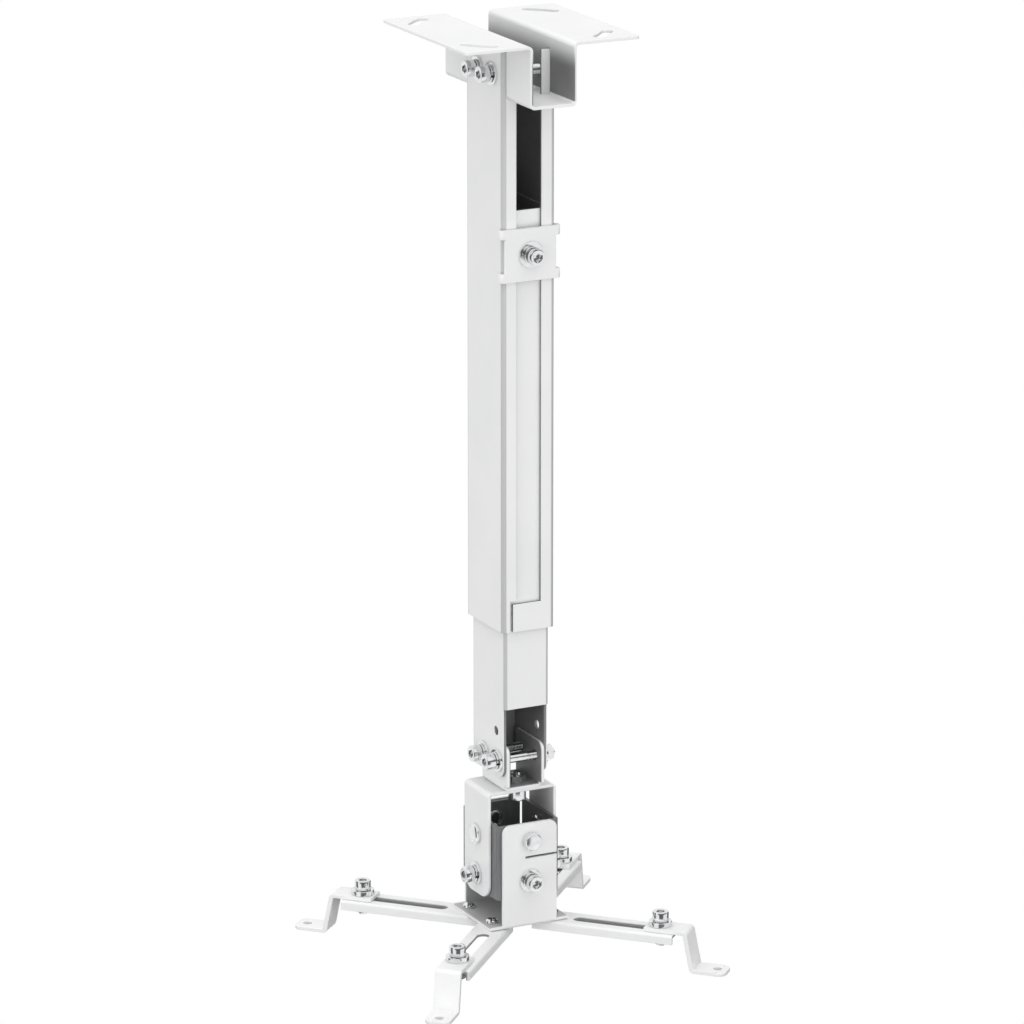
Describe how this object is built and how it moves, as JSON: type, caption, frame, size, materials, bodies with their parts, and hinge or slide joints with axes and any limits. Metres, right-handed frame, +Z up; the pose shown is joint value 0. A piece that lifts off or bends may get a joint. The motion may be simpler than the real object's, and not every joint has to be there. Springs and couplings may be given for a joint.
{
  "type": "projector ceiling mount",
  "caption": "Telescopic ceiling mount for a projector: hat bracket, slotted column with clamp, swivel and gimbal head, and a hub of slotted arms with cranked feet.",
  "frame": {"origin": "on the column's axis in the plane of the ceiling", "axes": "+Z up to the ceiling, -Y the slotted front of the column, X across the front"},
  "size_m": [0.1722, 0.1706, 0.4835],
  "materials": {
    "white_coat": "smooth white powder coat",
    "grey_steel": "plain grey steel, left uncoated",
    "bright_zinc": "bright plated steel"
  },
  "bodies": {
    "column": {"ceiling_bracket": "white_coat", "outer_column": "white_coat", "bracket_screws": "bright_zinc", "bracket_washers": "bright_zinc", "bracket_spring_washers": "bright_zinc", "bracket_nuts": "bright_zinc"},
    "telescope": {"inner_column": "white_coat", "clamp_plate": "white_coat", "clamp_screws": "bright_zinc", "clamp_washers": "bright_zinc", "clamp_spring_washers": "bright_zinc", "clamp_nuts": "bright_zinc", "yoke": "white_coat", "yoke_screws": "bright_zinc", "yoke_washers": "bright_zinc", "yoke_spring_washers": "bright_zinc", "yoke_nuts": "bright_zinc", "swivel_bolt": "bright_zinc", "swivel_nut": "bright_zinc"},
    "swivel": {"swivel_bracket": "white_coat", "pitch_rivets": "bright_zinc", "pitch_lock_screws": "bright_zinc", "pitch_lock_washers": "bright_zinc", "pitch_lock_spring_washers": "bright_zinc", "pitch_lock_nuts": "bright_zinc"},
    "gimbal": {"gimbal_box": "grey_steel"},
    "hub": {"hub_bracket": "white_coat", "roll_rivets": "bright_zinc", "roll_lock_screws": "bright_zinc", "roll_lock_washers": "bright_zinc", "roll_lock_spring_washers": "bright_zinc", "roll_lock_nuts": "bright_zinc", "hub_screws": "bright_zinc", "hub_nuts": "bright_zinc"},
    "arm_front_left": {"arm_front_left": "white_coat"},
    "slider_front_left": {"foot_screw_front_left": "bright_zinc", "foot_washers_front_left": "bright_zinc", "foot_nut_front_left": "bright_zinc"},
    "foot_front_left": {"foot_front_left": "white_coat"},
    "arm_front_right": {"arm_front_right": "white_coat"},
    "slider_front_right": {"foot_screw_front_right": "bright_zinc", "foot_washers_front_right": "bright_zinc", "foot_nut_front_right": "bright_zinc"},
    "foot_front_right": {"foot_front_right": "white_coat"},
    "arm_back_left": {"arm_back_left": "white_coat"},
    "slider_back_left": {"foot_screw_back_left": "bright_zinc", "foot_washers_back_left": "bright_zinc", "foot_nut_back_left": "bright_zinc"},
    "foot_back_left": {"foot_back_left": "white_coat"},
    "arm_back_right": {"arm_back_right": "white_coat"},
    "slider_back_right": {"foot_screw_back_right": "bright_zinc", "foot_washers_back_right": "bright_zinc", "foot_nut_back_right": "bright_zinc"},
    "foot_back_right": {"foot_back_right": "white_coat"}
  },
  "joints": [
    {"name": "height", "type": "slide", "parent": "column", "child": "telescope", "axis": [0, 0, -1], "range_m": [-0.053, 0.17]},
    {"name": "swivel", "type": "hinge", "parent": "telescope", "child": "swivel", "pos_m": [0, -0.0075, -0.3923], "axis": [0, 0, 1], "continuous": true},
    {"name": "pitch", "type": "hinge", "parent": "swivel", "child": "gimbal", "pos_m": [0, 0, -0.4172], "axis": [1, 0, 0], "range_deg": [-15, 15]},
    {"name": "roll", "type": "hinge", "parent": "gimbal", "child": "hub", "pos_m": [0, 0, -0.4172], "axis": [0, 1, 0], "range_deg": [-15, 15]},
    {"name": "arm_swing_front_left", "type": "hinge", "parent": "hub", "child": "arm_front_left", "pos_m": [-0.0173, -0.0132, -0.4636], "axis": [0, 0, 1], "range_deg": [-30, 30]},
    {"name": "foot_slide_front_left", "type": "slide", "parent": "arm_front_left", "child": "slider_front_left", "axis": [-0.6884, -0.7254, 0], "range_m": [-0.0015, 0]},
    {"name": "foot_turn_front_left", "type": "hinge", "parent": "slider_front_left", "child": "foot_front_left", "pos_m": [-0.05777, -0.05585, -0.4636], "axis": [0, 0, 1], "range_deg": [-60, 60]},
    {"name": "arm_swing_front_right", "type": "hinge", "parent": "hub", "child": "arm_front_right", "pos_m": [0.0173, -0.0132, -0.4636], "axis": [0, 0, 1], "range_deg": [-30, 30]},
    {"name": "foot_slide_front_right", "type": "slide", "parent": "arm_front_right", "child": "slider_front_right", "axis": [0.6884, -0.7254, 0], "range_m": [-0.0015, 0]},
    {"name": "foot_turn_front_right", "type": "hinge", "parent": "slider_front_right", "child": "foot_front_right", "pos_m": [0.05777, -0.05585, -0.4636], "axis": [0, 0, 1], "range_deg": [-60, 60]},
    {"name": "arm_swing_back_left", "type": "hinge", "parent": "hub", "child": "arm_back_left", "pos_m": [-0.0173, 0.0132, -0.4636], "axis": [0, 0, 1], "range_deg": [-30, 30]},
    {"name": "foot_slide_back_left", "type": "slide", "parent": "arm_back_left", "child": "slider_back_left", "axis": [-0.6884, 0.7254, 0], "range_m": [-0.0015, 0]},
    {"name": "foot_turn_back_left", "type": "hinge", "parent": "slider_back_left", "child": "foot_back_left", "pos_m": [-0.05777, 0.05585, -0.4636], "axis": [0, 0, 1], "range_deg": [-60, 60]},
    {"name": "arm_swing_back_right", "type": "hinge", "parent": "hub", "child": "arm_back_right", "pos_m": [0.0173, 0.0132, -0.4636], "axis": [0, 0, 1], "range_deg": [-30, 30]},
    {"name": "foot_slide_back_right", "type": "slide", "parent": "arm_back_right", "child": "slider_back_right", "axis": [0.6884, 0.7254, 0], "range_m": [-0.0015, 0]},
    {"name": "foot_turn_back_right", "type": "hinge", "parent": "slider_back_right", "child": "foot_back_right", "pos_m": [0.05777, 0.05585, -0.4636], "axis": [0, 0, 1], "range_deg": [-60, 60]}
  ]
}
